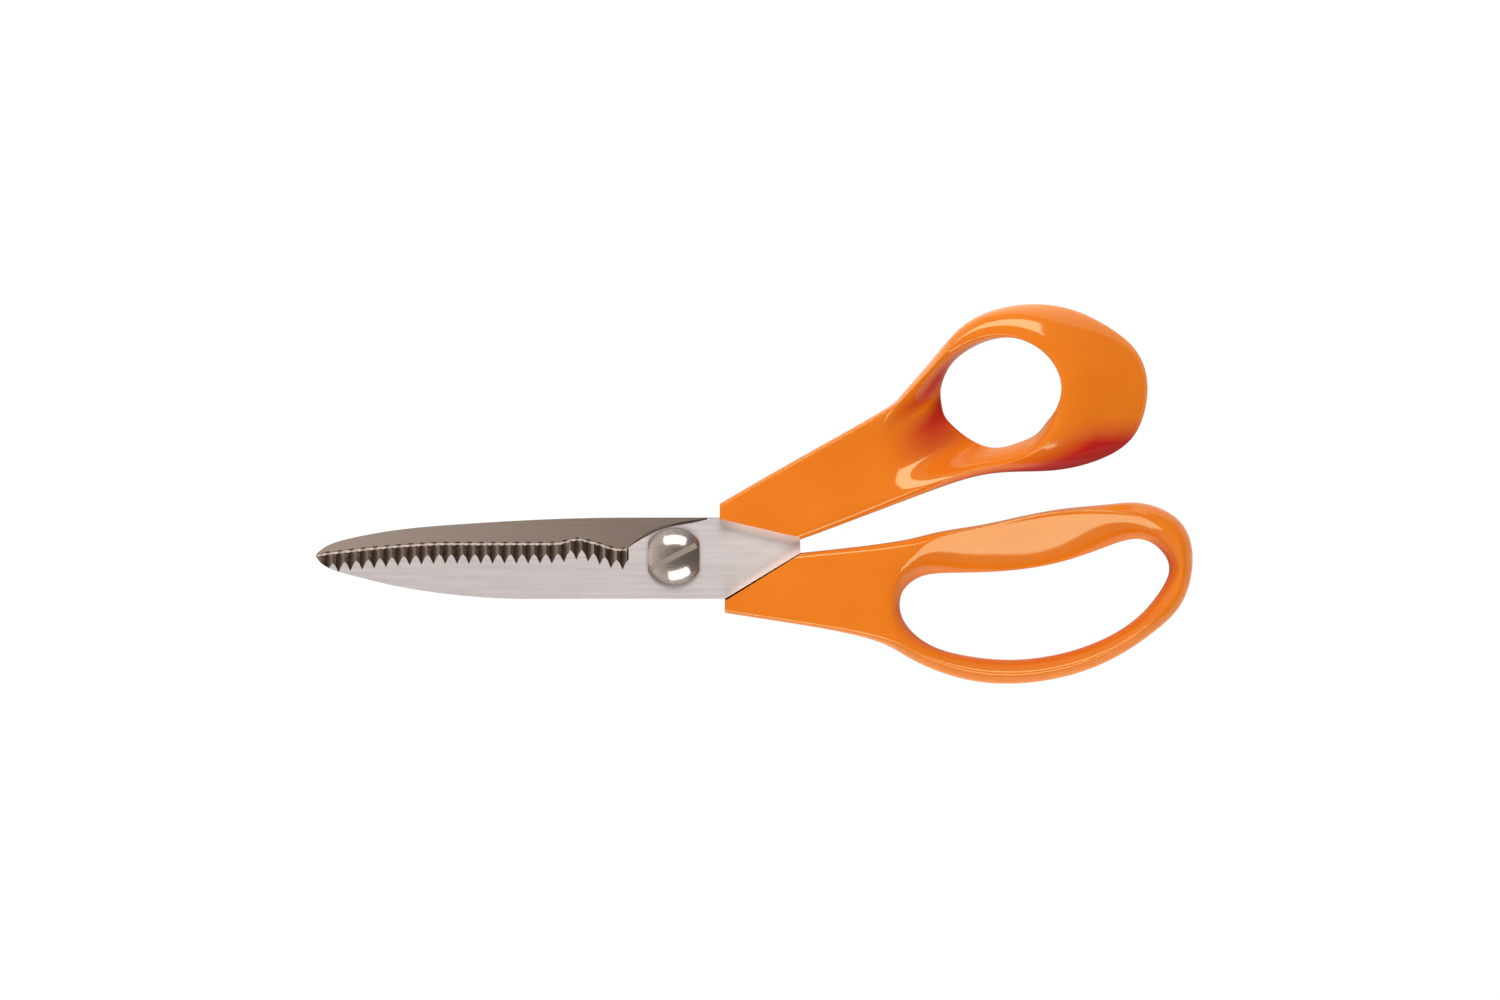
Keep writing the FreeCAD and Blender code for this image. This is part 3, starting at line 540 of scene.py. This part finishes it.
def paint_slot_light_and_shade(g, radius, base):
    """Paint light and shade into the screw's slot: painted light on its milled floor, painted shade on its
    walls.
    """
    height = g.split("Object")[Z]
    square = g.math("SUBTRACT", DOME_RADIUS**2, g.math("MULTIPLY", radius, radius))
    dome = g.math("ADD", g.math("SQRT", square), PIVOT.z + DOME_TOP - DOME_RADIUS)
    in_slot = g.product(
        g.math("GREATER_THAN", g.math("SUBTRACT", dome, height), SLOT_START),
        g.math("LESS_THAN", radius, SLOT_REACH),
        g.math("GREATER_THAN", height, PIVOT.z + SLOT_LOWEST),
    )
    flat = g.math("GREATER_THAN", g.split("Normal")[Z], 0.9)
    return g.mix(in_slot, base, g.mix(flat, (0.05, 0.035, 0.03, 1), (1.0, 0.84, 0.72, 1)))


def polished_steel(name, colour, roughness, slotted=False):
    """Bright turned metal: rings of the lathe and light handling marks; if slotted, a rougher rim that is
    painted darker, and painted light and shade in the slot.
    """
    g = Graph(name)
    radius = radius_node(g)
    rings = g.add("ShaderNodeTexNoise", noise_dimensions="1D")
    g.link(radius, rings.inputs["W"])
    rings.inputs["Scale"].default_value = 2600.0
    rings.inputs["Detail"].default_value = 3.0
    marks = g.noise(900.0, (1.0, 3.0, 1.0), 5.0)
    tint = tuple(channel * 0.82 for channel in colour) + (1,)
    base = g.mix(g.ramp(marks, 0.35, 0.7), tint, tuple(colour) + (1,))
    rough = g.ramp(marks, 0.3, 0.7, roughness, roughness + 0.08)
    if slotted:
        # the head is rougher and painted darker towards its rim
        rim = g.ramp(radius, *RIM)
        base = g.mix(rim, base, (0.22, 0.19, 0.18, 1))
        base = paint_slot_light_and_shade(g, radius, base)
        rough = g.math("ADD", rough, g.math("MULTIPLY", rim, 0.25))
    g.set(Base_Color=base, Metallic=1.0, Roughness=rough)
    g.bump(rings.outputs["Fac"], 0.12, 0.00001)
    return g.material


def white_table():
    """A lit white table: it shines only into the lens, so that it doesn't light the object's underside."""
    g = Graph("white_table")
    speck = g.noise(25.0, (1.0, 1.0, 1.0), 4.0)
    g.set(
        Base_Color=g.mix(g.ramp(speck, 0.3, 0.7), (0.78, 0.78, 0.78, 1), (0.80, 0.80, 0.80, 1)),
        Roughness=0.6,
    )
    glow = g.add("ShaderNodeEmission")
    glow.inputs["Strength"].default_value = TABLE_GLOW
    path = g.add("ShaderNodeLightPath")
    blend = g.add("ShaderNodeMixShader")
    g.link(g.math("MULTIPLY", path.outputs["Is Camera Ray"], GLOW_SHARE), blend.inputs[0])
    g.link(g.shader.outputs[0], blend.inputs[1])
    g.link(glow.outputs[0], blend.inputs[2])
    output = g.tree.nodes["Material Output"]
    g.link(blend.outputs[0], output.inputs["Surface"])
    return g.material


# ---------------------------------------------------------------- scene
def dress(node, material):
    """Give a CAD node its material."""
    set_material(NODES[node], material)


def add_softbox(name, azimuth_side, tilt, width, height, shift, radiance):
    """A softbox facing the tent's middle, tilt degrees from overhead on the side +1 or -1 along y."""
    light = bpy.data.lights.new(name, "AREA")
    light.shape = "RECTANGLE"
    light.size = width
    light.size_y = height
    # an area light's power in watts, for the radiance that its face should show
    light.energy = radiance * math.pi * width * height
    obj = new_object(name, light)
    angle = math.radians(tilt)
    direction = Vector((shift, azimuth_side * math.sin(angle), math.cos(angle)))
    obj.location = PIVOT + TENT_MIDDLE + direction * SOFTBOX_DISTANCE
    obj.rotation_euler = direction.to_track_quat("Z", "Y").to_euler()
    obj.visible_camera = False


def add_sky():
    """The rest of the tent: darkest round the lens, lighter to the left and towards the table."""
    world = bpy.data.worlds.new("tent")
    bpy.context.scene.world = world
    world.use_nodes = True
    tree = world.node_tree
    background = tree.nodes["Background"]
    coords = tree.nodes.new("ShaderNodeTexCoord")
    split = tree.nodes.new("ShaderNodeSeparateXYZ")
    tree.links.new(coords.outputs["Generated"], split.inputs[0])
    levels = []
    for source, low, high, low_out, high_out in ((0, -1.0, 1.0, 1.7, 0.3), (2, 0.95, 0.3, 0.34, 0.62)):
        level = tree.nodes.new("ShaderNodeMapRange")
        tree.links.new(split.outputs[source], level.inputs["Value"])
        for key, number in (("From Min", low), ("From Max", high), ("To Min", low_out), ("To Max", high_out)):
            level.inputs[key].default_value = number
        levels.append(level.outputs[0])
    strength = tree.nodes.new("ShaderNodeMath")
    strength.operation = "MULTIPLY"
    tree.links.new(levels[0], strength.inputs[0])
    tree.links.new(levels[1], strength.inputs[1])
    tree.links.new(strength.outputs[0], background.inputs["Strength"])
    background.inputs["Color"].default_value = (1.0, 0.95, 0.90, 1)


def add_table():
    bpy.ops.mesh.primitive_plane_add(size=TABLE_WIDTH, location=(0, 0, cad_box[0].z))
    table = bpy.context.object
    table.name = "table"
    table.data.materials.append(white_table())


def add_camera():
    data = bpy.data.cameras.new("camera")
    data.lens = LENS
    data.sensor_width = SENSOR_WIDTH
    camera = new_object("camera", data)
    camera.location = PIVOT + Vector((*VIEW_MIDDLE, VIEW_DISTANCE)) * MM
    bpy.context.scene.camera = camera


add_camera()
add_sky()
add_table()
add_softbox("softbox_far", 1, 51.0, 1.00, 0.38, 0.02, 7.4)
add_softbox("softbox_near", -1, 57.0, 0.95, 0.46, 0.22, 5.2)

plastic = orange_plastic()
build_handle("thumb_grip", THUMB_STATIONS, THUMB_CUTS, "thumb_handle", "thumb_half", plastic)
build_handle("finger_grip", FINGER_STATIONS, FINGER_CUTS, "finger_handle", "finger_half", plastic)
dress("front_blade", blade_steel("front_blade_steel", 1))
dress("rear_blade", blade_steel("rear_blade_steel", -1))
dress("pivot_screw", polished_steel("screw_steel", (0.52, 0.45, 0.41), 0.14, slotted=True))
dress("lock_nut", polished_steel("nut_steel", (0.62, 0.61, 0.60), 0.24))
dress("lock_washer", polished_steel("washer_steel", (0.42, 0.41, 0.40), 0.30))
dress("thrust_washer", polished_steel("washer_brass", (0.72, 0.52, 0.22), 0.28))
bpy.context.scene.view_settings.view_transform = "Standard"
